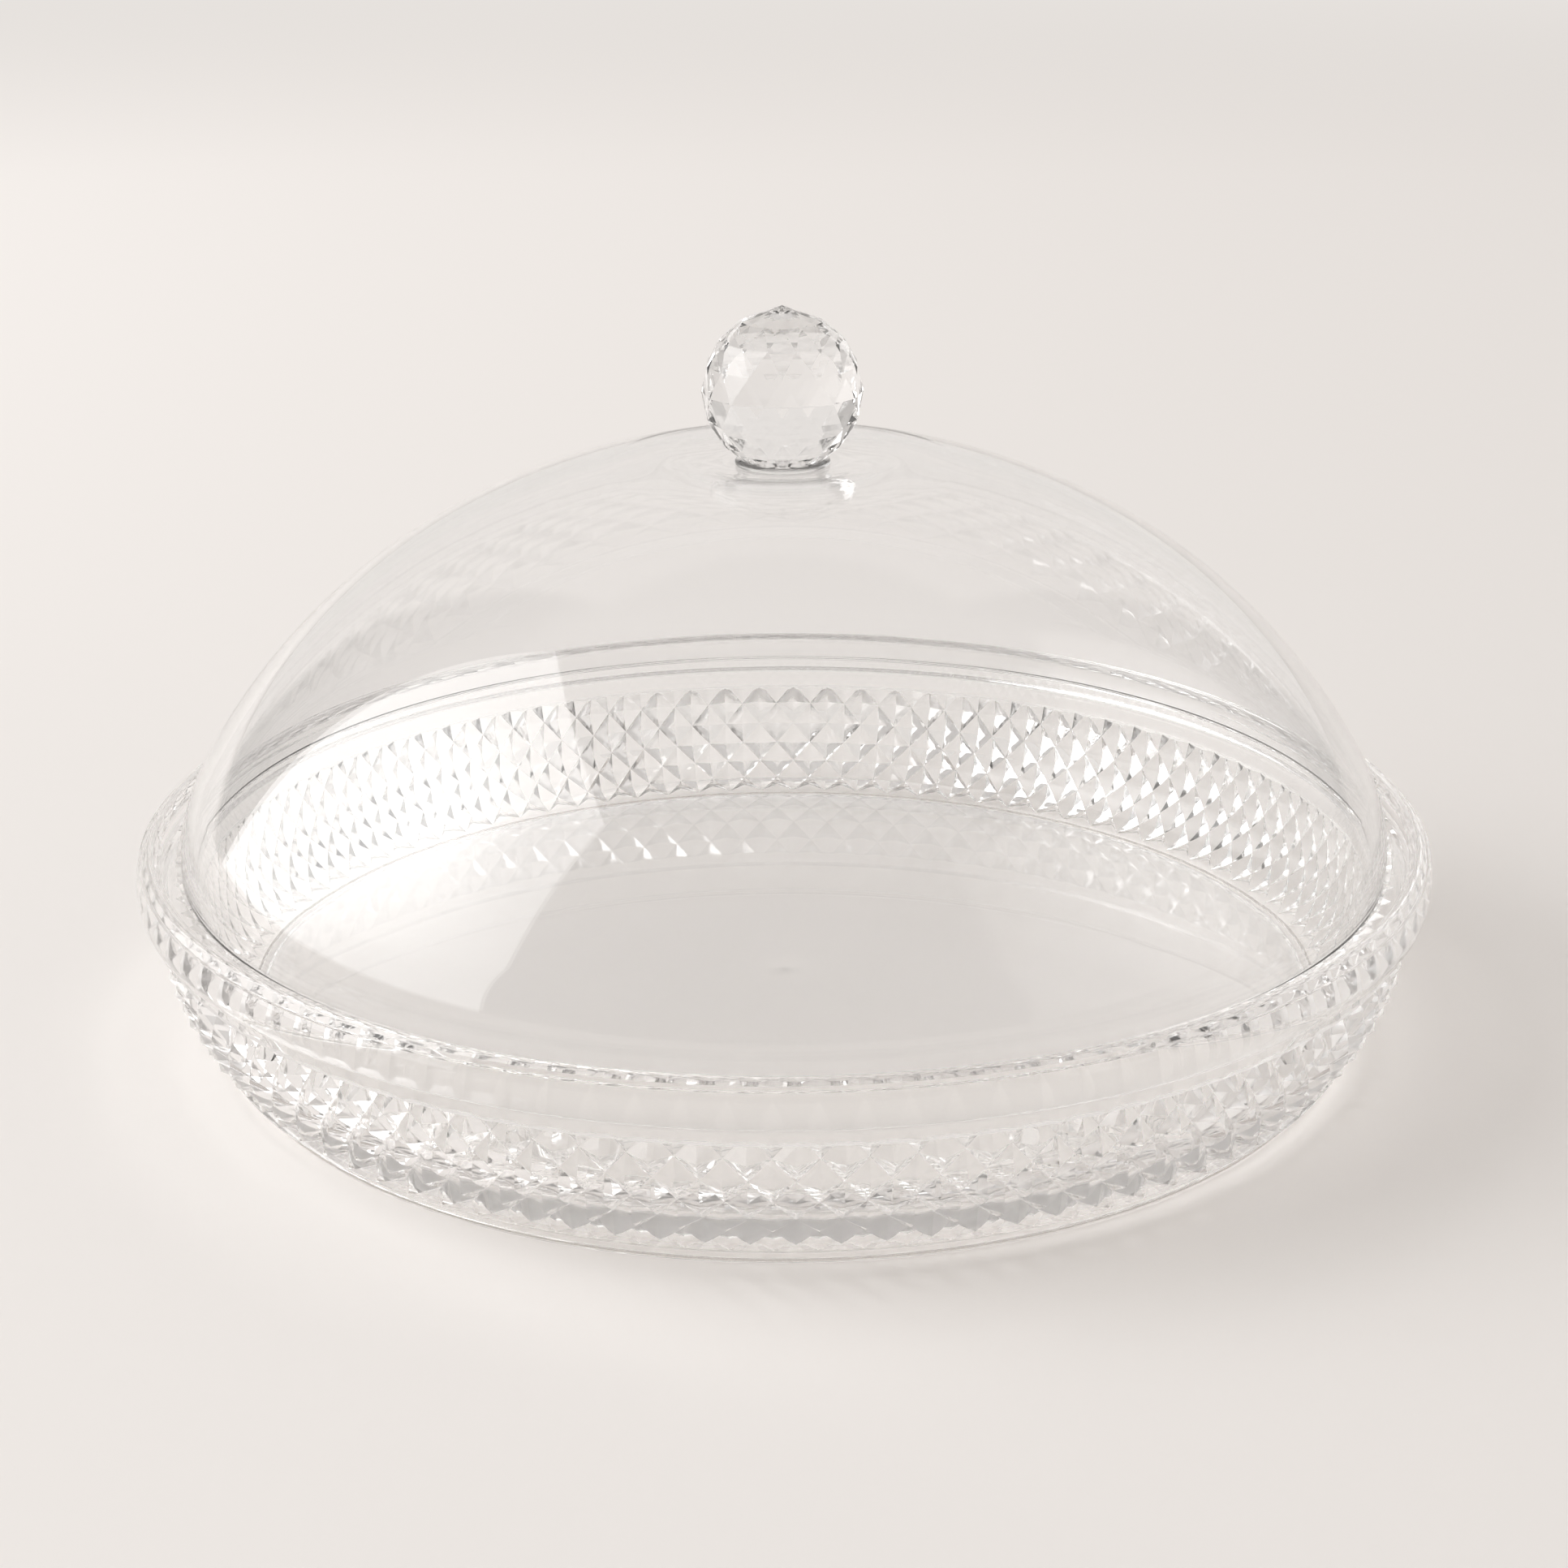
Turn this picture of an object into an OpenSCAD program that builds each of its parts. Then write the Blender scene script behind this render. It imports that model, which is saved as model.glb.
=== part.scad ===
/* [Overall] */
// Largest radius of the dish, at the belly of the rim band
rim_r = 125; // [115:0.5:135]

/* [Foot and floor] */
// How far the foot ring stands out past the lowest grooves of the relief
foot_out = 0.4; // [0:0.1:1.5]
// Height of the foot ring's plain band
foot_h = 1.9; // [1.2:0.1:2.4]
// Width of the foot ring
foot_w = 3.2; // [2.4:0.1:5]
// Fillet inside the foot ring
foot_fillet = 1.2; // [0.4:0.1:2]
// Height of the floor's upper face above the table
floor_top = 8; // [7.4:0.1:9.5]
// Thickness of the floor
floor_t = 3.6; // [2.6:0.1:4.4]

/* [Dish wall] */
// How far the grooves at the top of the relief, where the wall stands upright, lie inside the rim
belt_inset = 5.8; // [5.4:0.1:6.4]
// Height of the relief's top edge above the table
belt_top_z = 28.4; // [27.4:0.1:29.4]
// How far the wall sweeps inwards from the top to the bottom edge of the relief
wall_sweep = 11.2; // [10.2:0.1:12]
// Height of the relief's bottom edge above the table
belt_bottom_z = 4.2; // [3.6:0.1:4.8]
// Draft of the wall's inner face, in degrees
wall_draft = 3; // [1:0.5:4]
// Fillet between the floor and the wall
fillet_r = 12; // [10:0.5:13]

/* [Diamond relief] */
// Number of diamonds around the wall
diamonds = 93; // [60:1:110]
// Number of half diamonds from the bottom edge to the top edge
half_rows = 6; // [4:1:8]
// Height of the diamond points above the grooves
relief_h = 2.6; // [1.4:0.1:2.8]
// How far the top row of grooves runs up behind the rim
top_cover = 1.2; // [0.6:0.1:2]
// Turn of the diamonds about the dish's axis, in degrees
relief_turn = -1.1; // [-2:0.1:2]

/* [Rim] */
// Radius of the band's rounded section
belly_round = 9; // [7:0.5:14]
// Height of the belly above the table
belly_z = 35.6; // [35.2:0.1:36]
// Height of the band's lower edge above the table
band_z = 32.7; // [32.4:0.1:33.4]
// Height of the band's upper edge above the table
shoulder_z = 39.1; // [38.6:0.1:39.4]
// Height of the rim's crest above the table
rim_top = 41; // [40.7:0.1:42]
// How far the circle along which the crest runs lies inside the rim
crest_inset = 2.9; // [2.6:0.1:3.2]
// Rounding of the crest
crest_round = 0.9; // [0.6:0.1:1.1]
// Distance from the crest to the outer edge of the shelf around the lid
shelf_inset = 1.8; // [1.5:0.1:2.2]
// Radius of the hollow curve under the band
flare_r = 1.6; // [1:0.1:1.8]

/* [Lid seat] */
// Height of the lid ledge above the table
ledge_z = 36.9; // [36.4:0.1:37.4]
// Height of the upright lip around the lid
lip_h = 1.5; // [0.8:0.1:1.8]
// How far the lip lies inside the rim
lip_inset = 7.8; // [7.2:0.1:8.4]
// Width of the lid ledge
ledge_w = 3.3; // [2.9:0.1:4]
// Gap all round between the lid and the lip
lid_gap = 0.8; // [0.3:0.1:1]

/* [Lid] */
// Thickness of the lid
lid_t = 2.4; // [1.8:0.1:2.9]
// Height of the upright band at the lid's edge
edge_h = 0.6; // [0.2:0.1:4]
// Radius of the lid's shoulder curve
shoulder_r = 30; // [24:1:40]
// Angle that the shoulder curve turns through, in degrees
shoulder_turn = 29; // [22:1:36]
// Radius of the lid's flank curve
flank_r = 118; // [110:1:126]
// Lean of the flank where the crown begins, in degrees
flank_end = 62; // [54:1:70]
// Slope of the crown where it starts to level off, in degrees
crown_end = 14; // [10:1:18]
// Radius of the curve that levels the crown off around the knob
level_r = 46; // [30:1:84]

/* [Knob] */
// Diameter of the faceted ball
ball_d = 30.4; // [25:0.2:34]
// Number of facets around the ball
ball_sides = 14; // [8:1:18]
// Number of rings of corners between the ball's flat base and its point
ball_rings = 8; // [4:1:9]
// Height angle between one ring of corners and the next, in degrees
ring_turn = 20; // [16:1:20]
// Height angle of the ring above the level through the centre that is highest, in degrees
top_ring = 80; // [70:1:84]
// How far the round seat stands out past the ball's flat base
seat_out = 1.4; // [0.5:0.1:3]
// Height of the round seat under the ball
seat_h = 0.8; // [0.6:0.1:3]

/* [Hidden] */

// Number of sides that stands for a full circle
$fn = 180;
// Steps along each curved stretch of a turned outline
steps = 12;
// Small bevel on edges that would otherwise be sharp
bevel = 0.4;
// Depth to which overlapping bodies of one moulding run into each other
bite = 1;
// How far the plain wall stays under the relief's grooves
skin = 0.35;
// Overlap of the relief with the foot, and of the ball with its seat
lap = 0.2;
// Width of the flat edges above and below the relief
margin = 0.3;
// Slope at which the crest's rounding runs into the band and the shelf, in degrees
crest_slope = 20;

// Point at a distance and an angle from a centre
function polar(c, r, a) = [c[0] + r * cos(a), c[1] + r * sin(a)];

// Points along an arc about a centre, from one angle to another
function arc(c, r, a0, a1) = [for (i = [0:steps]) polar(c, r, a0 + (a1 - a0) * i / steps)];

// The wall's curve is upright at the top edge of the relief
belt_top_r = rim_r - belt_inset;
belt_bottom_r = belt_top_r - wall_sweep;
belt_drop = belt_top_z - belt_bottom_z;
belt_curve = (belt_drop * belt_drop + wall_sweep * wall_sweep) / (2 * wall_sweep);
belt_c = [belt_top_r - belt_curve, belt_top_z];

// Angle on the wall's curve, at an offset from the grooves, for a height above the table
function belt_angle(offset, z) = asin((z - belt_c[1]) / (belt_curve + offset));

// Outer edges of the flat margins below and above the relief
foot_top_r = polar(belt_c, belt_curve + relief_h, belt_angle(relief_h, belt_bottom_z))[0] + margin;
neck_r = belt_top_r + relief_h + margin;

// Outline of the foot ring, from the floor's underside round to the relief
foot_r = belt_bottom_r + foot_out;
foot_in_r = foot_r - foot_w;
under_z = floor_top - floor_t;
foot_outline = concat(
    [[0, under_z]],
    arc([foot_in_r - foot_fillet, under_z - foot_fillet], foot_fillet, 90, 0),
    [
        [foot_in_r, bevel],
        [foot_in_r + bevel, 0],
        [foot_r - bevel, 0],
        [foot_r, bevel],
        [foot_r, foot_h],
        [foot_top_r, belt_bottom_z]
    ]
);

// Outline of the wall under the relief
wall_outline = arc(belt_c, belt_curve - skin, belt_angle(-skin, belt_bottom_z), 0);

// Outline of the rim, from the hollow under the band over the crest to the lip
belly_c = [rim_r - belly_round, belly_z];
crest_r = rim_r - crest_inset;
crest_c = [crest_r, rim_top - crest_round];
flare_c = [neck_r + flare_r, band_z - bevel - flare_r];
lip_r = rim_r - lip_inset;
rim_outline = concat(
    [[neck_r, belt_top_z]],
    arc(flare_c, flare_r, 180, 90),
    arc(belly_c, belly_round, asin((band_z - belly_z) / belly_round), asin((shoulder_z - belly_z) / belly_round)),
    arc(crest_c, crest_round, crest_slope, 180 - crest_slope),
    [
        [crest_r - shelf_inset, shoulder_z + bevel],
        [lip_r + bevel, ledge_z + lip_h + bevel],
        [lip_r, ledge_z + lip_h],
        [lip_r, ledge_z]
    ]
);

// Outline of the inside, from the ledge down to the middle of the floor
wall_in_r = lip_r - ledge_w;
fillet_z = floor_top + fillet_r;
fillet_end_z = fillet_z - fillet_r * sin(wall_draft);
fillet_x = wall_in_r - (ledge_z - fillet_end_z) * tan(wall_draft) - fillet_r * cos(wall_draft);
inside_outline = concat(
    [[wall_in_r, ledge_z]],
    arc([fillet_x, fillet_z], fillet_r, -wall_draft, -90),
    [[0, floor_top]]
);

// Angle down the wall's curve of each row of groove crossings
top_turn = asin(top_cover / belt_curve);
row_step = (top_turn - belt_angle(0, belt_bottom_z)) / half_rows;
function row_angle(row) = top_turn - row * row_step;

// Point of the relief's section, at an offset from the grooves; the last row lies on the foot's top
function row_point(row, offset) =
    row < half_rows
        ? polar(belt_c, belt_curve + offset, row_angle(row))
        : polar(belt_c, belt_curve + offset, belt_angle(offset, belt_bottom_z - lap));

// Centres of the lid's curves, each tangent to the one before
lid_r = lip_r - lid_gap;
shoulder_c = [lid_r - shoulder_r, ledge_z + edge_h];
flank_c = polar(shoulder_c, shoulder_r - flank_r, shoulder_turn);
crown_r = flank_r + flank_c[0] / cos(flank_end);
crown_c = polar(flank_c, flank_r - crown_r, flank_end);
level_c = polar(crown_c, crown_r - level_r, 90 - crown_end);
lid_top = level_c[1] + level_r;

// One face of the lid, at a depth inside its outer face
function lid_face(depth) = concat(
    [[lid_r - depth, ledge_z]],
    arc(shoulder_c, shoulder_r - depth, 0, shoulder_turn),
    arc(flank_c, flank_r - depth, shoulder_turn, flank_end),
    arc(crown_c, crown_r - depth, flank_end, 90 - crown_end),
    arc(level_c, level_r - depth, 90 - crown_end, 90),
    [[0, lid_top - depth]]
);

// List in the opposite order
function reversed(list) = [for (i = [len(list) - 1:-1:0]) list[i]];

// Belt of pyramids on diamond bases: in each row groove crossings and points alternate
module diamond_relief() {
    columns = 2 * diamonds;
    inner_rows = [0, half_rows / 2, half_rows];
    inner_start = (half_rows + 1) * columns;

    outer_points = [
        for (row = [0:half_rows])
            for (col = [0:columns - 1])
                let (p = row_point(row, (row + col) % 2 == 0 ? relief_h : 0))
                let (a = relief_turn - 90 + 360 * col / columns)
                    [p[0] * cos(a), p[0] * sin(a), p[1]]
    ];
    inner_points = [
        for (row = inner_rows)
            for (col = [0:columns - 1])
                let (p = row_point(row, -bite))
                let (a = relief_turn - 90 + 360 * col / columns)
                    [p[0] * cos(a), p[0] * sin(a), p[1]]
    ];

    function outer(row, col) = row * columns + col % columns;
    function inner(row, col) = inner_start + row * columns + col % columns;

    // Each square of the grid is split along its groove
    relief_faces = [
        for (row = [0:half_rows - 1])
            for (col = [0:columns - 1])
                for (face = (row + col) % 2 == 0
                    ? [
                        [outer(row, col), outer(row, col + 1), outer(row + 1, col)],
                        [outer(row, col + 1), outer(row + 1, col + 1), outer(row + 1, col)]
                    ]
                    : [
                        [outer(row, col), outer(row, col + 1), outer(row + 1, col + 1)],
                        [outer(row, col), outer(row + 1, col + 1), outer(row + 1, col)]
                    ])
                    face
    ];
    hidden_faces = [
        for (col = [0:columns - 1])
            for (face = [
                [inner(0, col), inner(0, col + 1), outer(0, col + 1)],
                [inner(0, col), outer(0, col + 1), outer(0, col)],
                [inner(1, col), inner(1, col + 1), inner(0, col + 1)],
                [inner(1, col), inner(0, col + 1), inner(0, col)],
                [inner(2, col), inner(2, col + 1), inner(1, col + 1)],
                [inner(2, col), inner(1, col + 1), inner(1, col)],
                [outer(half_rows, col), outer(half_rows, col + 1), inner(2, col + 1)],
                [outer(half_rows, col), inner(2, col + 1), inner(2, col)]
            ])
                face
    ];
    polyhedron(points = concat(outer_points, inner_points), faces = concat(relief_faces, hidden_faces));
}

// Shallow round dish with a diamond relief outside and a ledge for the lid
module dish() {
    color([0.92, 0.93, 0.93, 0.5]) {
        rotate_extrude()
            polygon(concat(foot_outline, wall_outline, rim_outline, inside_outline));
        diamond_relief();
    }
}

// Thin clear dome that stands on the ledge
module lid() {
    color([0.95, 0.96, 0.96, 0.35])
        rotate_extrude()
            polygon(concat(lid_face(0), reversed(lid_face(lid_t))));
}

// Faceted ball on a round seat
module knob() {
    radius = ball_d / 2;
    base_angle = top_ring - (ball_rings - 1) * ring_turn;
    seat_r = radius * cos(base_angle) + seat_out;
    centre_z = lid_top + seat_h - lap - radius * sin(base_angle);

    corners = [
        for (ring = [0:ball_rings - 1])
            for (i = [0:ball_sides - 1])
                let (up = base_angle + ring * ring_turn)
                let (a = 360 * (i + (ring + 1) % 2 / 2) / ball_sides)
                    [radius * cos(up) * cos(a), radius * cos(up) * sin(a), centre_z + radius * sin(up)]
    ];
    point = len(corners);
    function corner(ring, i) = ring * ball_sides + i % ball_sides;

    side_faces = [
        for (ring = [0:ball_rings - 2])
            for (i = [0:ball_sides - 1])
                for (face = ring % 2 == 1
                    ? [
                        [corner(ring, i), corner(ring + 1, i), corner(ring, i + 1)],
                        [corner(ring, i + 1), corner(ring + 1, i), corner(ring + 1, i + 1)]
                    ]
                    : [
                        [corner(ring, i), corner(ring + 1, i), corner(ring + 1, i + 1)],
                        [corner(ring, i), corner(ring + 1, i + 1), corner(ring, i + 1)]
                    ])
                    face
    ];
    top_faces = [for (i = [0:ball_sides - 1]) [corner(ball_rings - 1, i), point, corner(ball_rings - 1, i + 1)]];
    base_face = [[for (i = [0:ball_sides - 1]) corner(0, i)]];

    color([0.97, 0.98, 0.99, 0.6]) {
        polyhedron(
            points = concat(corners, [[0, 0, centre_z + radius]]),
            faces = concat(side_faces, top_faces, base_face)
        );
        translate([0, 0, lid_top])
            cylinder(r = seat_r, h = seat_h);
    }
}

dish();
lid();
knob();
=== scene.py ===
"""Looks of the covered cheese and butter dish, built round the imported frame.

The dish, its dome lid and the faceted knob are turned or cut from clear material, so each is one closed
mesh with smooth curves, and every edge that shows in the clear walls is in the geometry. Sizes are in
millimetres and become metres when a mesh is made.
"""

import logging
import math
from collections.abc import Sequence
from dataclasses import dataclass, field
from enum import Enum
from typing import Any, Union
import bpy
import numpy as np
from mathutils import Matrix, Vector


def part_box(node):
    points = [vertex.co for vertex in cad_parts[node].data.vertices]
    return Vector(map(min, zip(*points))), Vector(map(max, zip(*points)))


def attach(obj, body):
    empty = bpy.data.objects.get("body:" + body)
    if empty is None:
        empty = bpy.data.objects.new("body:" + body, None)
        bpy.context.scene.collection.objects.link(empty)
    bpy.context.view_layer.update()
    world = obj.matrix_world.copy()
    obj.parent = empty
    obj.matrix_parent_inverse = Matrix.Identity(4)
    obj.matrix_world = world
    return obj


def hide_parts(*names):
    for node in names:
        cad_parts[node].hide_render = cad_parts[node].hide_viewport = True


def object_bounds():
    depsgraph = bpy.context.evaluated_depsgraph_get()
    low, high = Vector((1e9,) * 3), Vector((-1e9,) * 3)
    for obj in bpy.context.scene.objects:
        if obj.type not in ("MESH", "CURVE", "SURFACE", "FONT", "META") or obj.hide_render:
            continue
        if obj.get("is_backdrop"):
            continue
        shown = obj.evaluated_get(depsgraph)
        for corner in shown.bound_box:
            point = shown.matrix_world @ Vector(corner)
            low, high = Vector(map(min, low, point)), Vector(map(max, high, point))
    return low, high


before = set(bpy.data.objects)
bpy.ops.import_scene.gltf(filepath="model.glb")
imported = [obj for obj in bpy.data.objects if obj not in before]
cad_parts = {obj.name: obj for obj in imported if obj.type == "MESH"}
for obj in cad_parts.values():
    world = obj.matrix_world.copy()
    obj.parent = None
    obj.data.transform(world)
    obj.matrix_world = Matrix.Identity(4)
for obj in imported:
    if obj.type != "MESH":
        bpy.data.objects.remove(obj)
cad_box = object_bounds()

logging.basicConfig(level=logging.INFO, format="%(message)s")
log = logging.getLogger("cheese_dish")

MM = 0.001
SATIN = "satin"
Point = tuple[float, float]
Number = Union[float, "Value"]


class Ray(Enum):
    """Kinds of ray that a material can tell apart."""

    CAMERA = "Is Camera Ray"
    THROUGH = "Is Transmission Ray"


class Value:
    """A socket that carries a number; Python's operators add the Math nodes."""

    def __init__(self, bench: "Bench", socket: bpy.types.NodeSocket) -> None:
        """Wraps a socket of the bench's tree."""
        self.bench = bench
        self.socket = socket

    def math(self, operation: str, *others: Number) -> "Value":
        """Adds one Math node that takes this value first.

        Args:
            operation: The Math node's operation.
            others: The values for its other inputs.

        Returns:
            The node's result.
        """
        return self.bench.math(operation, self, *others)

    def __add__(self, other: Number) -> "Value":
        """This value plus another."""
        return self.math("ADD", other)

    __radd__ = __add__

    def __mul__(self, other: Number) -> "Value":
        """This value times another."""
        return self.math("MULTIPLY", other)

    __rmul__ = __mul__

    def __sub__(self, other: Number) -> "Value":
        """This value less another."""
        return self.math("SUBTRACT", other)

    def __rsub__(self, other: Number) -> "Value":
        """Another value less this one."""
        return self.bench.math("SUBTRACT", other, self)

    def __truediv__(self, other: Number) -> "Value":
        """This value over another."""
        return self.math("DIVIDE", other)


class Bench:
    """Adds nodes to one tree, of a material, the world or Geometry Nodes."""

    def __init__(self, tree: bpy.types.NodeTree) -> None:
        """Starts on an empty tree."""
        self.tree = tree
        tree.nodes.clear()

    def node(self, kind: str, settings: dict[str, Any] | None = None, **sockets: Any) -> bpy.types.Node:
        """Adds a node.

        Args:
            kind: The node's type.
            settings: Its properties, which are set first.
            sockets: Its inputs by name, with underscores for spaces, or i0, i1 and so on by place.

        Returns:
            The node.
        """
        node = self.tree.nodes.new(kind)
        for name, value in (settings or {}).items():
            setattr(node, name, value)
        for name, value in sockets.items():
            place = name[1:].isdigit() and name[0] == "i"
            target = node.inputs[int(name[1:])] if place else node.inputs[name.replace("_", " ")]
            self.feed(target, value)
        return node

    def feed(self, target: bpy.types.NodeSocket, value: Any) -> None:
        """Links or sets one input.

        Args:
            target: The input.
            value: A Value, an output socket, or what the input's default becomes.
        """
        if isinstance(value, Value):
            value = value.socket
        if isinstance(value, bpy.types.NodeSocket):
            self.tree.links.new(value, target)
        else:
            target.default_value = value

    def math(self, operation: str, *values: Number) -> Value:
        """Adds a Math node on values and gives its result."""
        node = self.tree.nodes.new("ShaderNodeMath")
        node.operation = operation
        for target, value in zip(node.inputs, values):
            self.feed(target, value)
        return Value(self, node.outputs[0])

    def ramp(self, value: Value, start: float, end: float) -> Value:
        """How far a value has come from a start to an end, held between 0 and 1."""
        slope = 1 / (end - start)
        settings = {"operation": "MULTIPLY_ADD", "use_clamp": True}
        node = self.node("ShaderNodeMath", settings, i0=value, i1=slope, i2=-start * slope)
        return Value(self, node.outputs[0])

    def vector(self, operation: str, *values: Any, **sockets: Any) -> bpy.types.NodeSocket:
        """Adds a Vector Math node and gives its vector."""
        node = self.node("ShaderNodeVectorMath", {"operation": operation}, **sockets)
        for target, value in zip(node.inputs, values):
            self.feed(target, value)
        return node.outputs["Vector"]

    def mix(self, factor: Number, first: Any, second: Any) -> bpy.types.NodeSocket:
        """Mixes two colours.

        Args:
            factor: The share of the second colour.
            first: The first colour.
            second: The second colour.

        Returns:
            The mixed colour's socket.
        """
        node = self.node("ShaderNodeMix", {"data_type": "RGBA", "clamp_factor": False}, i0=factor)
        self.feed(node.inputs[6], first)
        self.feed(node.inputs[7], second)
        return node.outputs[2]

    def split(self, where: bpy.types.NodeSocket) -> list[Value]:
        """The three parts of a place or a direction."""
        return [Value(self, part) for part in self.node("ShaderNodeSeparateXYZ", i0=where).outputs]

    def ray(self, kind: Ray) -> Value:
        """Whether the ray is of a kind, as 0 or 1."""
        return Value(self, self.node("ShaderNodeLightPath").outputs[kind.value])

    def noise(self, where: bpy.types.NodeSocket, size_mm: float) -> Value:
        """Smooth noise in space.

        Args:
            where: The coordinates, in metres.
            size_mm: The size of its patches.

        Returns:
            The noise, from 0 to 1.
        """
        node = self.node("ShaderNodeTexNoise", Vector=where, Scale=1 / (size_mm * MM), Detail=0.0)
        return Value(self, node.outputs[0])


@dataclass(frozen=True)
class ClearFinish:
    """Clear polished material, which can carry a faint ripple from its mould or a satin part."""

    name: str
    tint: tuple[float, float, float, float]
    ior: float
    polish: float
    ripple_mm: float = 0.0
    ripple_depth_mm: float = 0.0
    clearness: float = 0.985
    satin: float = 0.0

    def build(self) -> bpy.types.Material:
        """Makes the material.

        Returns:
            The material.
        """
        material = bpy.data.materials.new(self.name)
        material.use_nodes = True
        bench = Bench(material.node_tree)
        body = bench.node(
            "ShaderNodeBsdfPrincipled",
            Base_Color=self.tint,
            Roughness=self.polish,
            IOR=self.ior,
            Transmission_Weight=self.clearness,
        )
        if self.satin:
            worn = bench.node("ShaderNodeAttribute", {"attribute_name": SATIN}).outputs["Fac"]
            bench.feed(body.inputs["Roughness"], worn)
        if self.ripple_depth_mm:
            here = bench.node("ShaderNodeTexCoord").outputs["Object"]
            ripple = bench.noise(here, self.ripple_mm)
            depth = self.ripple_depth_mm * MM
            bump = bench.node("ShaderNodeBump", Strength=1.0, Distance=depth, Height=ripple)
            bench.feed(body.inputs["Normal"], bump.outputs[0])
        bench.node("ShaderNodeOutputMaterial", Surface=body.outputs[0])
        return material


@dataclass(frozen=True)
class PaleFloor:
    """Smooth pale surface that the dish stands on, with painted light that makes its colour lighter
    further back, and which fades into the backdrop far away.
    """

    name: str = "pale_floor"
    roughness: float = 0.9
    specular: float = 0.1
    color: tuple[float, float, float, float] = (0.875, 0.85, 0.83, 1.0)
    # The lighter colour further back is painted light: it stands in for the lamp's light falling off with
    # distance, not the floor's own tone.
    far_painted_light_color: tuple[float, float, float, float] = (0.97, 0.945, 0.925, 1.0)
    painted_light_from_mm: float = 150.0
    painted_light_to_mm: float = 1000.0
    backdrop: tuple[float, float, float, float] = (0.80, 0.765, 0.735, 1.0)
    fade_from_mm: float = 1100.0
    fade_to_mm: float = 1900.0

    def build(self) -> bpy.types.Material:
        """Makes the floor's material."""
        material = bpy.data.materials.new(self.name)
        material.use_nodes = True
        material.cycles.emission_sampling = "NONE"
        bench = Bench(material.node_tree)
        here = bench.node("ShaderNodeTexCoord").outputs["Object"]
        across, deep, _ = bench.split(here)
        # Painted light: the floor's colour is mixed towards the lighter one further back, where the lamp
        # gives less light.
        painted_light_share = bench.ramp(deep, self.painted_light_from_mm * MM, self.painted_light_to_mm * MM)
        body = bench.node(
            "ShaderNodeBsdfPrincipled",
            Base_Color=bench.mix(painted_light_share, self.color, self.far_painted_light_color),
            Roughness=self.roughness,
            Specular_IOR_Level=self.specular,
        )
        out = (across * across + deep * deep).math("SQRT")
        fade = bench.ramp(out, self.fade_from_mm * MM, self.fade_to_mm * MM)
        seen = bench.ray(Ray.CAMERA).math("MAXIMUM", bench.ray(Ray.THROUGH))
        backdrop = bench.node("ShaderNodeEmission", Color=self.backdrop)
        shaders = {"i1": body.outputs[0], "i2": backdrop.outputs[0]}
        both = bench.node("ShaderNodeMixShader", i0=fade * seen, **shaders)
        bench.node("ShaderNodeOutputMaterial", Surface=both.outputs[0])
        return material


ACRYLIC = ClearFinish(
    name="clear_acrylic",
    tint=(0.996, 0.994, 0.991, 1.0),
    ior=1.49,
    polish=0.003,
    satin=0.35,
)
LID_ACRYLIC = ClearFinish(
    name="clear_lid_acrylic",
    tint=(0.992, 0.993, 0.994, 1.0),
    ior=1.49,
    polish=0.003,
    ripple_mm=30.0,
    ripple_depth_mm=0.008,
)
CRYSTAL = ClearFinish(
    name="cut_crystal",
    tint=(0.992, 0.994, 0.995, 1.0),
    ior=1.54,
    polish=0.001,
)


def polar(centre: Point, radius: float, angle: float) -> Point:
    """Point at a distance and an angle, in degrees, from a centre."""
    turn = math.radians(angle)
    return (centre[0] + radius * math.cos(turn), centre[1] + radius * math.sin(turn))


def arc(centre: Point, radius: float, start: float, end: float, steps: int) -> list[Point]:
    """Points along an arc.

    Args:
        centre: Its centre, as distance from the axis and height.
        radius: Its radius.
        start: The angle of its first point, in degrees.
        end: The angle of its last point.
        steps: How many steps it has.

    Returns:
        The points, both ends among them.
    """
    return [polar(centre, radius, start + (end - start) * i / steps) for i in range(steps + 1)]


def rounded(before: Point, corner: Point, after: Point, radius: float, steps: int = 4) -> list[Point]:
    """Corner of an outline, rounded.

    Args:
        before: The outline's point before the corner.
        corner: The corner itself.
        after: The point after it.
        radius: The rounding.
        steps: How many steps the rounding has.

    Returns:
        The points that take the corner's place.
    """
    here = Vector(corner)
    back = (Vector(before) - here).normalized()
    on = (Vector(after) - here).normalized()
    half = back.angle(on) / 2
    reach = radius / math.tan(half)
    middle = here + (back + on).normalized() * (radius / math.sin(half))
    start, end = here + back * reach - middle, here + on * reach - middle
    first = math.degrees(math.atan2(start.y, start.x))
    turn = math.degrees(math.atan2(start.x * end.y - start.y * end.x, start.dot(end)))
    return arc((middle.x, middle.y), radius, first, first + turn, steps)


def finished(name: str, mesh: bpy.types.Mesh, material: bpy.types.Material) -> bpy.types.Object:
    """Puts a mesh in the scene as a piece.

    Args:
        name: The piece's name.
        mesh: Its mesh, in metres, in the shared frame.
        material: Its finish.

    Returns:
        The piece.
    """
    mesh.materials.clear()
    mesh.materials.append(material)
    piece = bpy.data.objects.new(name, mesh)
    bpy.context.scene.collection.objects.link(piece)
    log.info("%s: %d vertices, %d faces", name, len(mesh.vertices), len(mesh.polygons))
    return piece


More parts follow.
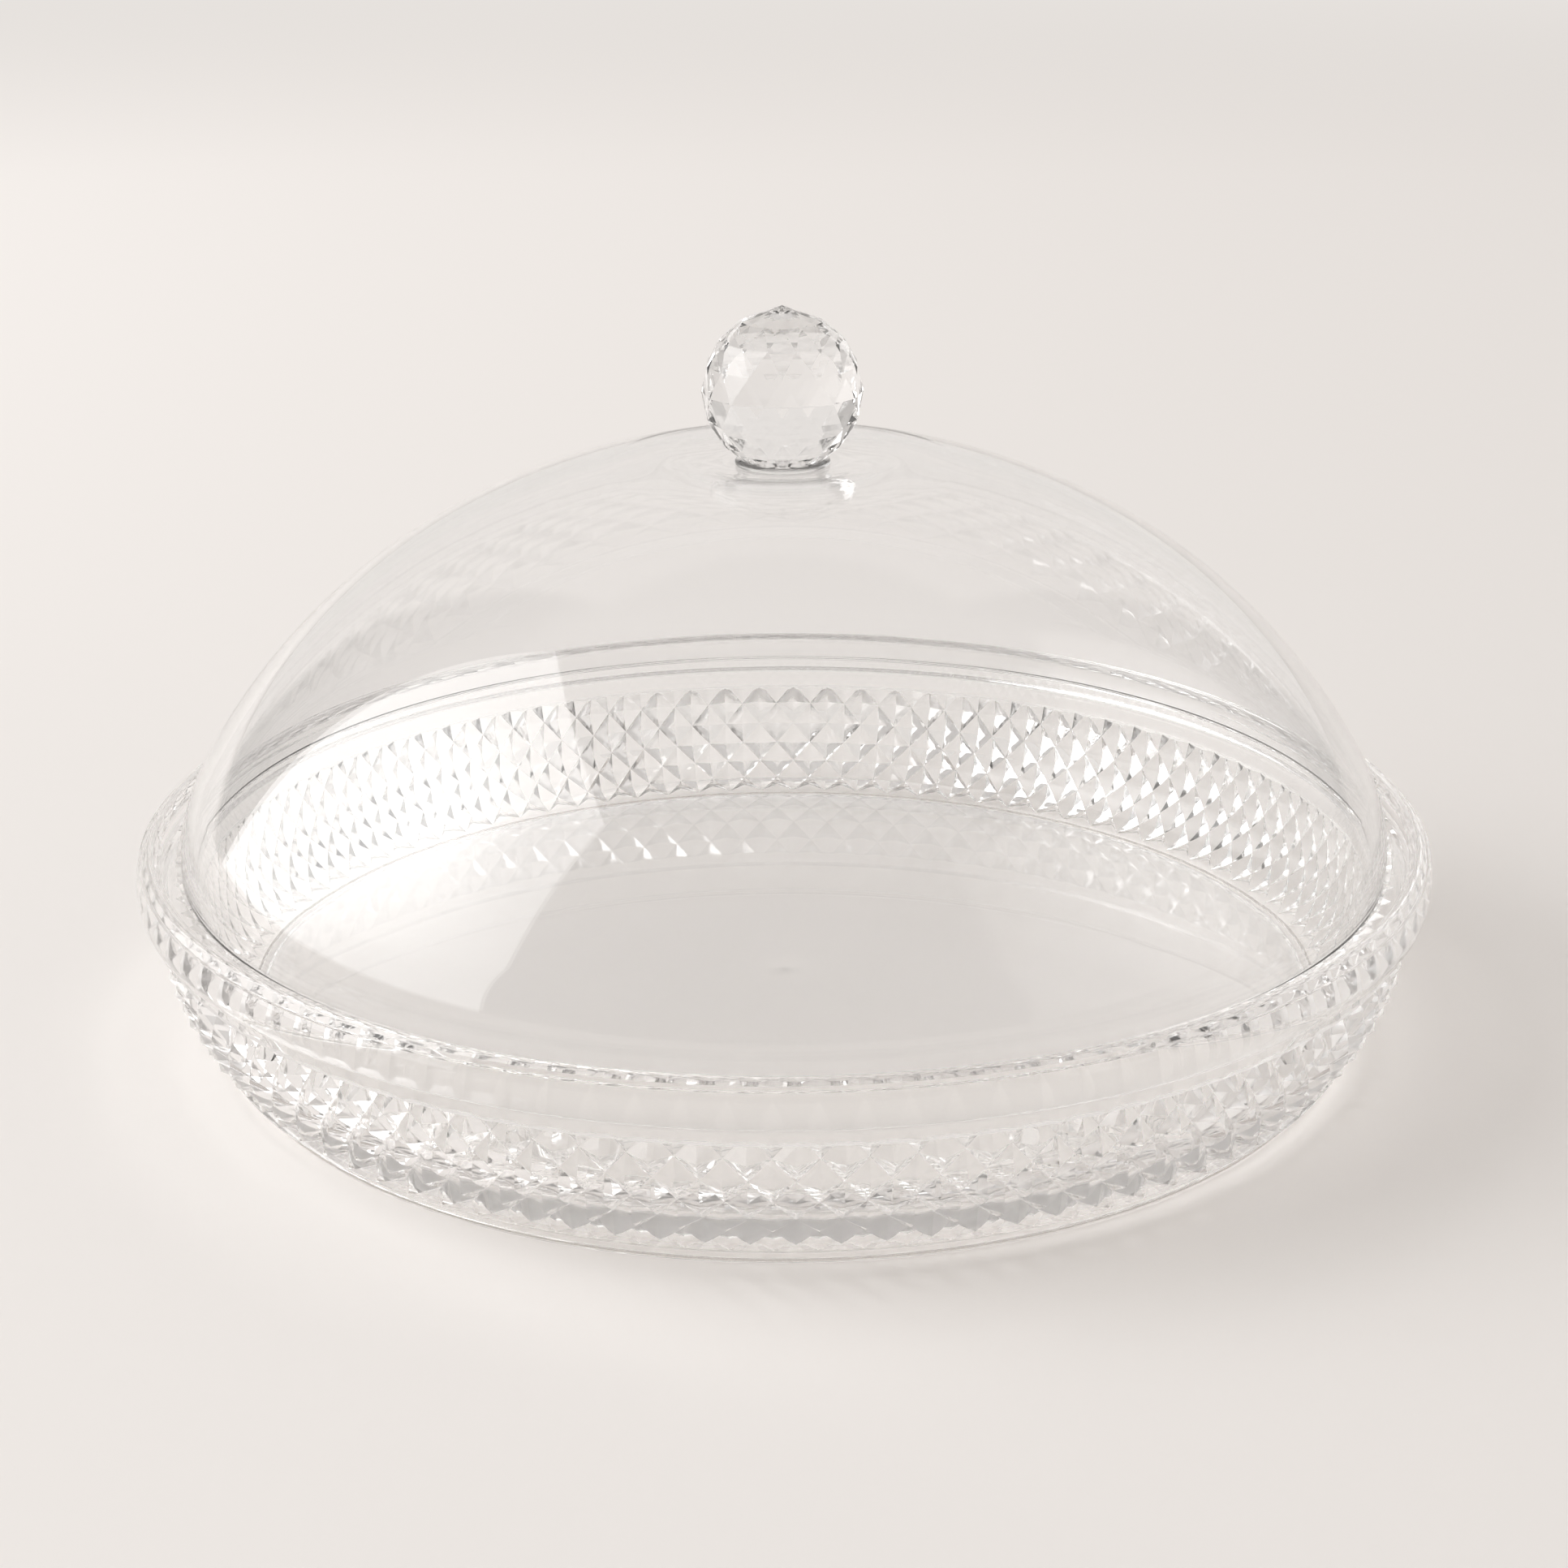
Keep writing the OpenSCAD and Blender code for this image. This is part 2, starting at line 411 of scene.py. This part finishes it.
@dataclass
class Turning:
    """A closed body turned about the dish's axis, from an outline that starts and ends on the axis."""

    outline: list[Point]
    columns: int
    turn: float = 0.0

    def mesh(self, name: str, flipped: Sequence[tuple[int, int]] = ()) -> bpy.types.Mesh:
        """Makes the body's mesh.

        Args:
            name: The mesh's name.
            flipped: Squares, as row and column, that are split along their other diagonal.

        Returns:
            The closed mesh in metres, whose faces point outwards.
        """
        rings = self.outline[1:-1]
        angles = [math.radians(self.turn - 90 + 360 * i / self.columns) for i in range(self.columns)]
        points = [(r * math.cos(a) * MM, r * math.sin(a) * MM, z * MM) for r, z in rings for a in angles]
        low = len(points)
        points += [(0, 0, self.outline[0][1] * MM), (0, 0, self.outline[-1][1] * MM)]
        last = (len(rings) - 1) * self.columns
        other = set(flipped)
        faces = []
        for i in range(self.columns):
            j = (i + 1) % self.columns
            faces.append((low, j, i))
            faces.append((low + 1, last + i, last + j))
            for row in range(len(rings) - 1):
                a, b = row * self.columns + i, row * self.columns + j
                c, d = b + self.columns, a + self.columns
                faces += [(a, b, d), (b, c, d)] if (row, i) in other else [(a, b, c), (a, c, d)]
        mesh = bpy.data.meshes.new(name)
        mesh.from_pydata(points, [], faces)
        mesh.validate()
        return mesh


def smooth(mesh: bpy.types.Mesh, edge_angle: float) -> None:
    """Shades a mesh smooth and keeps its edges.

    Args:
        mesh: The mesh.
        edge_angle: The least angle of an edge that stays sharp, in degrees.
    """
    mesh.shade_smooth()
    mesh.set_sharp_from_angle(angle=math.radians(edge_angle))


@dataclass
class DiamondRelief:
    """Rows of four-sided pyramids round the dish's wall."""

    diamonds: int = 93
    half_rows: int = 6
    height: float = 2.4
    top_cover: float = 1.2
    turn: float = -1.1
    splits: int = 3
    blunting: float = 0.05
    least_row: float = 0.05

    @property
    def columns(self) -> int:
        """Columns of the dish's mesh that put a vertex on each point and groove crossing."""
        return 2 * self.diamonds * self.splits

    def tree(self) -> bpy.types.NodeTree:
        """Geometry Nodes tree that raises the pyramids by the wall's own attributes.

        It reads diamond_col and diamond_row, counted in half diamonds, and proud, the way out of the wall.

        Returns:
            The tree, with inputs for the points' height and their blunting.
        """
        tree = bpy.data.node_groups.new("diamond_relief", "GeometryNodeTree")
        face = tree.interface
        face.new_socket("Geometry", in_out="INPUT", socket_type="NodeSocketGeometry")
        face.new_socket("Height", in_out="INPUT", socket_type="NodeSocketFloat")
        face.new_socket("Blunting", in_out="INPUT", socket_type="NodeSocketFloat")
        face.new_socket("Material", in_out="INPUT", socket_type="NodeSocketMaterial")
        face.new_socket("Geometry", in_out="OUTPUT", socket_type="NodeSocketGeometry")
        bench = Bench(tree)
        given = bench.node("NodeGroupInput").outputs

        def stored(name: str, data_type: str) -> bpy.types.NodeSocket:
            """Reads a named attribute."""
            node = bench.node("GeometryNodeInputNamedAttribute", {"data_type": data_type}, Name=name)
            return node.outputs["Attribute"]

        col = Value(bench, stored("diamond_col", "FLOAT"))
        row = Value(bench, stored("diamond_row", "FLOAT"))
        slants = []
        for along in ((col + row) * 0.5, (col - row) * 0.5):
            slants.append((along - along.math("ROUND")).math("ABSOLUTE"))
        steepest = slants[0].math("MAXIMUM", slants[1])
        rise = (1 - steepest * 2).math("MINIMUM", 1 - Value(bench, given["Blunting"]))
        height = rise * Value(bench, given["Height"])
        lift = bench.vector("SCALE", stored("proud", "FLOAT_VECTOR"), Scale=height)
        raised = bench.node("GeometryNodeSetPosition", Geometry=given["Geometry"], Offset=lift)
        whole = bench.node("GeometryNodeRealizeInstances", Geometry=raised.outputs[0])
        parts = {"Geometry": whole.outputs[0], "Material": given["Material"]}
        dressed = bench.node("GeometryNodeSetMaterial", **parts)
        bench.node("NodeGroupOutput", Geometry=dressed.outputs[0])
        return tree

    def raise_on(self, mesh: bpy.types.Mesh, material: bpy.types.Material) -> bpy.types.Mesh:
        """Raises the pyramids on a wall that carries the relief's attributes.

        Args:
            mesh: The wall's mesh.
            material: The finish that the tree sets.

        Returns:
            A new plain mesh.
        """
        carrier = bpy.data.objects.new("relief_carrier", mesh)
        bpy.context.scene.collection.objects.link(carrier)
        modifier = carrier.modifiers.new("relief", "NODES")
        modifier.node_group = self.tree()
        values = {"Height": self.height * MM, "Blunting": self.blunting, "Material": material}
        for item in modifier.node_group.interface.items_tree:
            if item.in_out == "INPUT" and item.name in values:
                modifier[item.identifier] = values[item.name]
        seen = bpy.context.evaluated_depsgraph_get()
        result = bpy.data.meshes.new_from_object(carrier.evaluated_get(seen), depsgraph=seen)
        bpy.data.objects.remove(carrier)
        return result


@dataclass
class Dish:
    """Shallow bowl with its foot ring, diamond relief, rim band and lid ledge."""

    finish: ClearFinish = ACRYLIC
    relief: DiamondRelief = field(default_factory=DiamondRelief)
    foot_r: float = 108.4
    foot_h: float = 1.9
    foot_w: float = 3.2
    foot_fillet: float = 1.2
    foot_steps: int = 6
    floor_top: float = 8.0
    floor_t: float = 3.6
    belt_top_r: float = 119.2
    belt_top_z: float = 28.4
    belt_bottom_r: float = 108.0
    belt_bottom_z: float = 4.2
    wall_in_r: float = 113.9
    wall_draft: float = 3.0
    fillet_r: float = 12.0
    rim_r: float = 125.0
    belly_round: float = 9.0
    belly_z: float = 35.6
    band_z: float = 32.7
    shoulder_z: float = 39.1
    rim_top: float = 41.0
    crest_r: float = 122.1
    crest_round: float = 0.9
    shelf_inset: float = 1.8
    flare_r: float = 1.6
    ledge_z: float = 36.9
    lip_h: float = 1.5
    lip_r: float = 117.2
    margin: float = 0.3
    edge: float = 0.4
    band_edge: float = 0.7
    step_in: float = 0.75
    step_round: float = 0.25
    gate_r: float = 1.6
    gate_rise: float = 0.12
    band_steps: int = 8
    belly_steps: int = 14
    crest_start: float = 20.0
    crest_end: float = 160.0
    crest_steps: int = 10
    fillet_steps: int = 16
    edge_angle: float = 18.0

    def belt_centre(self) -> tuple[Point, float]:
        """Centre and radius of the wall's curve, which is upright at the relief's top edge."""
        drop = self.belt_top_z - self.belt_bottom_z
        inward = self.belt_top_r - self.belt_bottom_r
        radius = (drop * drop + inward * inward) / (2 * inward)
        return (self.belt_top_r - radius, self.belt_top_z), radius

    def belt_rows(self) -> tuple[list[Point], list[float], list[Point]]:
        """Rows of the mesh across the relief, from its bottom edge to its top edge.

        Returns:
            The points on the grooves, each row's place in half diamonds, and the way out of the wall.
        """
        centre, radius = self.belt_centre()
        top = math.degrees(math.asin(self.relief.top_cover / radius))
        bottom = math.degrees(math.asin((self.belt_bottom_z - centre[1]) / radius))
        step = (top - bottom) / self.relief.half_rows
        finest = self.relief.half_rows * self.relief.splits
        places = [i / self.relief.splits for i in range(finest, 0, -1)]
        cut = top / step
        places = [p for p in places if p > cut + self.relief.least_row] + [cut]
        points = [polar(centre, radius, top - p * step) for p in places]
        out = []
        for place in places:
            way = polar((0, 0), 1.0, top - place * step)
            level = max(0.0, place - self.relief.half_rows + 1)
            out.append((way[0] + level * (1 / way[0] - way[0]), way[1] * (1 - level)))
        return points, places, out

    def below_relief(self) -> list[Point]:
        """Outline from the middle of the underside round the foot ring to the relief."""
        foot_in = self.foot_r - self.foot_w
        under = self.floor_top - self.floor_t
        foot_centre = (foot_in - self.foot_fillet, under - self.foot_fillet)
        centre, radius = self.belt_centre()
        reach = radius + self.relief.height
        turn = math.asin((self.belt_bottom_z - centre[1]) / reach)
        plinth_r = centre[0] + reach * math.cos(turn) + self.margin
        return [
            (0, under),
            (foot_in / 2, under),
            *arc(foot_centre, self.foot_fillet, 90, 0, self.foot_steps),
            *rounded((foot_in, under), (foot_in, 0), (self.foot_r, 0), self.edge),
            *rounded((foot_in, 0), (self.foot_r, 0), (self.foot_r, self.foot_h), self.edge),
            (self.foot_r, self.foot_h),
            (plinth_r, self.belt_bottom_z),
        ]

    def above_relief(self) -> list[Point]:
        """Outline from the relief's top edge over the rim to the lid ledge."""
        neck_r = self.belt_top_r + self.relief.height + self.margin
        flare = (neck_r + self.flare_r, self.band_z - self.edge - self.flare_r)
        belly = (self.rim_r - self.belly_round, self.belly_z)
        low_z = self.band_z + self.band_edge / 2
        low = math.degrees(math.asin((low_z - self.belly_z) / self.belly_round))
        high = math.degrees(math.asin((self.shoulder_z - self.belly_z) / self.belly_round))
        crest = (self.crest_r, self.rim_top - self.crest_round)
        lip_top = (self.lip_r, self.ledge_z + self.lip_h)
        band_low = polar(belly, self.belly_round, low)
        drop = low_z - flare[1] - self.flare_r
        band_corner = (band_low[0] - drop * math.tan(math.radians(-low)), low_z - drop)
        band_in = (flare[0], band_corner[1])
        step_out = polar(belly, self.belly_round, high)
        step = (step_out[0] - self.step_in, self.shoulder_z)
        shelf_end = (self.crest_r - self.shelf_inset, self.shoulder_z + self.edge)
        ledge_in = (self.wall_in_r, self.ledge_z)
        return [
            (neck_r, self.belt_top_z),
            *arc(flare, self.flare_r, 180, 90, self.band_steps),
            *rounded(band_in, band_corner, band_low, self.band_edge, self.band_steps),
            *arc(belly, self.belly_round, low, high, self.belly_steps)[1:],
            *rounded(step_out, step, polar(crest, self.crest_round, self.crest_start), self.step_round),
            *arc(crest, self.crest_round, self.crest_start, self.crest_end, self.crest_steps),
            shelf_end,
            *rounded(shelf_end, lip_top, (self.lip_r, self.ledge_z), self.edge),
            (self.lip_r, self.ledge_z),
            *rounded((self.lip_r, self.ledge_z), ledge_in, (self.wall_in_r, self.floor_top), self.edge),
        ]

    def inside(self) -> list[Point]:
        """Outline from the ledge down the inside to the middle of the floor."""
        fillet_z = self.floor_top + self.fillet_r
        draft = math.radians(self.wall_draft)
        end_z = fillet_z - self.fillet_r * math.sin(draft)
        end_r = self.wall_in_r - (self.ledge_z - end_z) * math.tan(draft)
        fillet_x = end_r - self.fillet_r * math.cos(draft)
        return [
            *arc((fillet_x, fillet_z), self.fillet_r, -self.wall_draft, -90, self.fillet_steps),
            (fillet_x - self.edge, self.floor_top),
            (4 * self.gate_r, self.floor_top),
            (self.gate_r, self.floor_top),
            (self.gate_r / 2, self.floor_top + self.gate_rise),
            (0, self.floor_top + self.gate_rise),
        ]

    def build(self) -> bpy.types.Object:
        """Makes the dish.

        Returns:
            The piece, which replaces the frame's dish.
        """
        material = self.finish.build()
        below, above = self.below_relief(), self.above_relief()
        belt, places, out = self.belt_rows()
        outline = below + belt + above + self.inside()
        first = len(below) - 1
        columns = self.relief.columns
        splits = self.relief.splits
        flipped = []
        for k in range(len(places) - 1):
            cell_row = math.floor((places[k] + places[k + 1]) / 2)
            for i in range(columns):
                if (cell_row + i // splits) % 2 == 1:
                    flipped.append((first + k, i))
        turned = Turning(outline, columns, self.relief.turn)
        mesh = turned.mesh("dish", flipped)
        self.mark_relief(mesh, first, places, out)
        self.mark_satin(mesh, len(outline) - 2)
        mesh = self.relief.raise_on(mesh, material)
        mesh.name = "dish_moulding"
        smooth(mesh, self.edge_angle)
        piece = finished("dish_moulding", mesh, material)
        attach(piece, "root")
        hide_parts("dish")
        return piece

    def mark_satin(self, mesh: bpy.types.Mesh, rings: int) -> None:
        """Writes the surface's roughness: satin on the underside inside the foot ring, else polished.

        Args:
            mesh: The turned mesh.
            rings: How many rings it has; its lowest middle point comes after them.
        """
        values = np.full(len(mesh.vertices), self.finish.polish, np.float32)
        values[: (self.foot_steps + 2) * self.relief.columns] = self.finish.satin
        values[rings * self.relief.columns] = self.finish.satin
        mesh.attributes.new(SATIN, "FLOAT", "POINT").data.foreach_set("value", values)

    def mark_relief(
        self, mesh: bpy.types.Mesh, first: int, places: Sequence[float], out: Sequence[Point]
    ) -> None:
        """Writes the attributes that the relief's tree reads.

        Args:
            mesh: The turned mesh.
            first: Its first ring that carries the relief.
            places: The place of each such ring, in half diamonds.
            out: The way out of the wall at each such ring.
        """
        columns = self.relief.columns
        count = len(mesh.vertices)
        col = np.zeros(count, np.float32)
        row = np.ones(count, np.float32)
        proud = np.zeros((count, 3), np.float32)
        angles = np.radians(self.relief.turn - 90 + 360 * np.arange(columns) / columns)
        for k, (place, way) in enumerate(zip(places, out)):
            span = slice((first + k) * columns, (first + k + 1) * columns)
            col[span] = np.arange(columns) / self.relief.splits
            row[span] = place
            proud[span, 0] = way[0] * np.cos(angles)
            proud[span, 1] = way[0] * np.sin(angles)
            proud[span, 2] = way[1]
        for name, kind, values in (("diamond_col", "FLOAT", col), ("diamond_row", "FLOAT", row)):
            mesh.attributes.new(name, kind, "POINT").data.foreach_set("value", values)
        mesh.attributes.new("proud", "FLOAT_VECTOR", "POINT").data.foreach_set("vector", proud.ravel())


@dataclass
class Lid:
    """Thin clear dome that stands on the dish's ledge."""

    finish: ClearFinish = LID_ACRYLIC
    lid_r: float = 116.4
    wall: float = 2.4
    base_z: float = 36.9
    seat_gap: float = 0.04
    edge_h: float = 0.6
    edge: float = 0.5
    shoulder_r: float = 30.0
    shoulder_turn: float = 29.0
    flank_r: float = 118.0
    flank_end: float = 62.0
    crown_end: float = 14.0
    level_r: float = 46.0
    dip_depth: float = 1.5
    dip_r: float = 9.4
    dip_steps: int = 12
    columns: int = 288
    edge_angle: float = 30.0

    def face(self, depth: float) -> list[Point]:
        """One face of the dome, from its edge to the axis.

        Args:
            depth: How far the face lies inside the outer one.

        Returns:
            The outline's points.
        """
        shoulder = (self.lid_r - self.shoulder_r, self.base_z + self.edge_h)
        flank = polar(shoulder, self.shoulder_r - self.flank_r, self.shoulder_turn)
        crown_r = self.flank_r + flank[0] / math.cos(math.radians(self.flank_end))
        crown = polar(flank, self.flank_r - crown_r, self.flank_end)
        level = polar(crown, crown_r - self.level_r, 90 - self.crown_end)
        curves = (
            (shoulder, self.shoulder_r, 0, self.shoulder_turn, 12),
            (flank, self.flank_r, self.shoulder_turn, self.flank_end, 18),
            (crown, crown_r, self.flank_end, 90 - self.crown_end, 12),
            (level, self.level_r, 90 - self.crown_end, 90, 8),
        )
        points = []
        for centre, radius, start, end, steps in curves:
            points += arc(centre, radius - depth, start, end, steps)[:-1]
        top = level[1] + self.level_r - depth
        for i in range(self.dip_steps + 1):
            part = i / self.dip_steps
            sunk = self.dip_depth * (1 - math.cos(math.pi * part)) / 2
            points.append((level[0] + (self.dip_r - level[0]) * part, top - sunk))
        return [*points, (0, top - self.dip_depth)]

    def build(self) -> bpy.types.Object:
        """Makes the lid.

        Returns:
            The piece, which replaces the frame's lid.
        """
        outer, inner = self.face(0), self.face(self.wall)
        low = self.base_z + self.seat_gap
        outer_low, inner_low = (self.lid_r, low), (self.lid_r - self.wall, low)
        foot = [
            *rounded(inner[0], inner_low, outer_low, self.edge),
            *rounded(inner_low, outer_low, outer[0], self.edge),
        ]
        outline = inner[::-1] + foot + outer
        mesh = Turning(outline, self.columns).mesh("lid_dome")
        smooth(mesh, self.edge_angle)
        piece = finished("lid_dome", mesh, self.finish.build())
        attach(piece, "root")
        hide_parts("lid")
        return piece


@dataclass
class Knob:
    """Faceted ball on a small round seat."""

    finish: ClearFinish = CRYSTAL
    ball_d: float = 30.4
    sides: int = 14
    rings: int = 8
    ring_turn: float = 20.0
    top_ring: float = 80.0
    seat_out: float = 1.4
    seat_h: float = 0.8
    seat_gap: float = 0.04
    seat_round: float = 0.25
    sink: float = 1.5
    point: float = 0.9
    seat_columns: int = 96
    edge_angle: float = 30.0

    def ball(self, centre_z: float, base_angle: float) -> bpy.types.Mesh:
        """Ball of flat facets between staggered rings of corners.

        Args:
            centre_z: Height of its centre.
            base_angle: Angle of its lowest ring below the level, in degrees.

        Returns:
            The closed mesh.
        """
        radius = self.ball_d / 2
        points = []
        for ring in range(self.rings):
            level_r, rise = polar((0, centre_z), radius, base_angle + ring * self.ring_turn)
            for i in range(self.sides):
                x, y = polar((0, 0), level_r, 360 * (i + (ring + 1) % 2 / 2) / self.sides)
                points.append((x * MM, y * MM, rise * MM))
        points.append((0, 0, (centre_z + radius + self.point) * MM))
        top = len(points) - 1

        def corner(ring: int, i: int) -> int:
            """Number of a corner."""
            return ring * self.sides + i % self.sides

        faces = [tuple(corner(0, i) for i in reversed(range(self.sides)))]
        for i in range(self.sides):
            for ring in range(self.rings - 1):
                a, b = corner(ring, i), corner(ring, i + 1)
                c, d = corner(ring + 1, i + 1), corner(ring + 1, i)
                faces += [(a, b, d), (b, c, d)] if ring % 2 == 1 else [(a, c, d), (a, b, c)]
            faces.append((corner(self.rings - 1, i), corner(self.rings - 1, i + 1), top))
        mesh = bpy.data.meshes.new("knob_ball")
        mesh.from_pydata(points, [], faces)
        mesh.validate()
        return mesh

    def build(self) -> list[bpy.types.Object]:
        """Makes the ball and its seat.

        Returns:
            The pieces, which replace the frame's knob.
        """
        foot_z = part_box("knob")[0].z / MM - self.sink
        material = self.finish.build()
        base_angle = self.top_ring - (self.rings - 1) * self.ring_turn
        base_r, base_drop = polar((0, 0), self.ball_d / 2, base_angle)
        ball_z = foot_z + self.seat_h - base_drop
        seat_r = base_r + self.seat_out
        ball = finished("knob_ball", self.ball(ball_z, base_angle), material)
        low, high = foot_z + self.seat_gap, foot_z + self.seat_h - self.seat_gap
        outline = [
            (0, low),
            *rounded((0, low), (seat_r, low), (seat_r, high), self.seat_round),
            *rounded((seat_r, low), (seat_r, high), (0, high), self.seat_round),
            (0, high),
        ]
        seat_mesh = Turning(outline, self.seat_columns).mesh("knob_seat")
        smooth(seat_mesh, self.edge_angle)
        seat = finished("knob_seat", seat_mesh, material)
        for piece in (ball, seat):
            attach(piece, "root")
            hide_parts("knob")
        return [ball, seat]


@dataclass(frozen=True)
class Wall:
    """Part of the room that the clear walls mirror, by its directions from the dish, in degrees."""

    start: float
    end: float
    top: float
    level: float
    soft: float = 3.0

    def share(self, bench: Bench, bearing: Value, rise: Value) -> Value:
        """How much of a direction the wall fills.

        Args:
            bench: The world's nodes.
            bearing: The direction's angle round the dish, 0 behind it and 90 to its right.
            rise: The direction's angle above the level.

        Returns:
            The share, from 0 to 1.
        """
        half = self.soft / 2
        first = bench.ramp(bearing, self.start - half, self.start + half)
        last = bench.ramp(bearing, self.end + half, self.end - half)
        return first * last * bench.ramp(rise, self.top + half, self.top - half)


@dataclass
class Studio:
    """Pale floor, a tall soft window light on the left, the room round it and the camera."""

    lens: float = 74.66
    sensor: float = 36.0
    nearest: float = 0.01
    camera_back: float = 596.1
    camera_up: float = 262.5
    camera_pitch: float = 19.9
    camera_roll: float = -0.25
    floor_side: float = 8000.0
    pale: tuple[float, float, float, float] = (0.80, 0.765, 0.735, 1.0)
    ceiling: float = 0.5
    through: float = 0.5
    lower: Wall = Wall(-200.0, 200.0, 54.0, 0.36, 8.0)
    walls: tuple[Wall, ...] = (
        Wall(-36.0, 36.0, 56.0, 0.80),
        Wall(-56.0, -36.0, 50.0, 0.22),
        Wall(48.0, 136.0, 51.0, 0.92),
    )
    window_x: float = -2.0
    window_y: tuple[float, float] = (-1.48, 1.36)
    window_z: tuple[float, float] = (0.02, 3.62)
    window_level: float = 1.9
    window_spot: float = 2.8
    spot_place: Point = (0.5, 0.42)
    spot_size: float = 0.26
    bounces: int = 16
    mirror_bounces: int = 10
    clear_bounces: int = 12

    def floor(self) -> bpy.types.Object:
        """Makes the floor."""
        half = self.floor_side / 2 * MM
        mesh = bpy.data.meshes.new("floor")
        corners = [(-half, -half, 0), (half, -half, 0), (half, half, 0), (-half, half, 0)]
        mesh.from_pydata(corners, [], [(0, 1, 2, 3)])
        piece = finished("floor", mesh, PaleFloor().build())
        piece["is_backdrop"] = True
        return piece

    def camera(self) -> bpy.types.Object:
        """Makes the camera at the photograph's viewing angle."""
        data = bpy.data.cameras.new("camera")
        data.lens = self.lens
        data.sensor_width = self.sensor
        data.clip_start = self.nearest
        camera = bpy.data.objects.new("camera", data)
        camera.location = (0, -self.camera_back * MM, self.camera_up * MM)
        camera.rotation_mode = "XYZ"
        camera.rotation_euler = (math.radians(90 - self.camera_pitch), 0, 0)
        camera.rotation_euler.rotate_axis("Z", math.radians(self.camera_roll))
        bpy.context.scene.collection.objects.link(camera)
        bpy.context.scene.camera = camera
        return camera

    def window(self) -> bpy.types.Object:
        """Makes the tall soft light on the left, brightest round one spot.

        Returns:
            The lamp, which only the clear walls show.
        """
        data = bpy.data.lights.new("window_light", "AREA")
        data.shape = "RECTANGLE"
        low, high = (Vector((self.window_x, y, z)) for y, z in zip(self.window_y, self.window_z))
        data.size, data.size_y = high.y - low.y, high.z - low.z
        data.energy = math.pi * data.size * data.size_y
        data.use_nodes = True
        bench = Bench(data.node_tree)
        across, up, _ = bench.split(bench.node("ShaderNodeNewGeometry").outputs["Parametric"])
        side = (across - self.spot_place[0]) / self.spot_size
        rise = (up - self.spot_place[1]) / self.spot_size
        glow = bench.math("EXPONENT", (side * side + rise * rise) * -1.0)
        light = bench.node("ShaderNodeEmission", Strength=glow * self.window_spot + self.window_level)
        bench.node("ShaderNodeOutputLight", Surface=light.outputs[0])
        lamp = bpy.data.objects.new("window_light", data)
        lamp.location = (low + high) / 2
        lamp.rotation_euler = Vector((1, 0, 0)).to_track_quat("-Z", "Y").to_euler()
        lamp.visible_camera = False
        bpy.context.scene.collection.objects.link(lamp)
        return lamp

    def surroundings(self) -> None:
        """Makes the room: a pale wall behind the dish, greyer parts beside it and towards the camera."""
        world = bpy.data.worlds.new("studio")
        bpy.context.scene.world = world
        world.use_nodes = True
        world.cycles.sampling_method = "NONE"
        bench = Bench(world.node_tree)
        way = bench.node("ShaderNodeTexCoord").outputs["Generated"]
        x, y, z = bench.split(way)
        bearing = x.math("ARCTAN2", y).math("DEGREES")
        rise = z.math("ARCSINE").math("DEGREES")
        level = self.lower.share(bench, bearing, rise) * (self.lower.level - self.ceiling) + self.ceiling
        for wall in self.walls:
            share = wall.share(bench, bearing, rise)
            level = level + share * (wall.level - level)
        room = bench.mix(level / self.pale[0], (0.0, 0.0, 0.0, 1.0), self.pale)
        pale_share = bench.ray(Ray.CAMERA).math("MAXIMUM", bench.ray(Ray.THROUGH) * self.through)
        seen = bench.mix(pale_share, room, self.pale)
        background = bench.node("ShaderNodeBackground", Color=seen)
        bench.node("ShaderNodeOutputWorld", Surface=background.outputs[0])

    def build(self) -> None:
        """Makes the whole studio."""
        self.floor()
        self.surroundings()
        self.window()
        self.camera()
        cycles = bpy.context.scene.cycles
        cycles.blur_glossy = 0.0
        cycles.use_light_tree = False
        cycles.max_bounces = self.bounces
        cycles.glossy_bounces = self.mirror_bounces
        cycles.transmission_bounces = self.clear_bounces
        bpy.context.scene.view_settings.view_transform = "Standard"


def main() -> None:
    """Builds the studio and the pieces, and logs each one."""
    Studio().build()
    for assembly in (Dish(), Lid(), Knob()):
        assembly.build()
        log.info("%s is built", type(assembly).__name__)
    boxes = {"cad": cad_box, "visual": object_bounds()}
    sizes = {name: [list(corner) for corner in box] for name, box in boxes.items()}


if __name__ == "__main__":
    main()
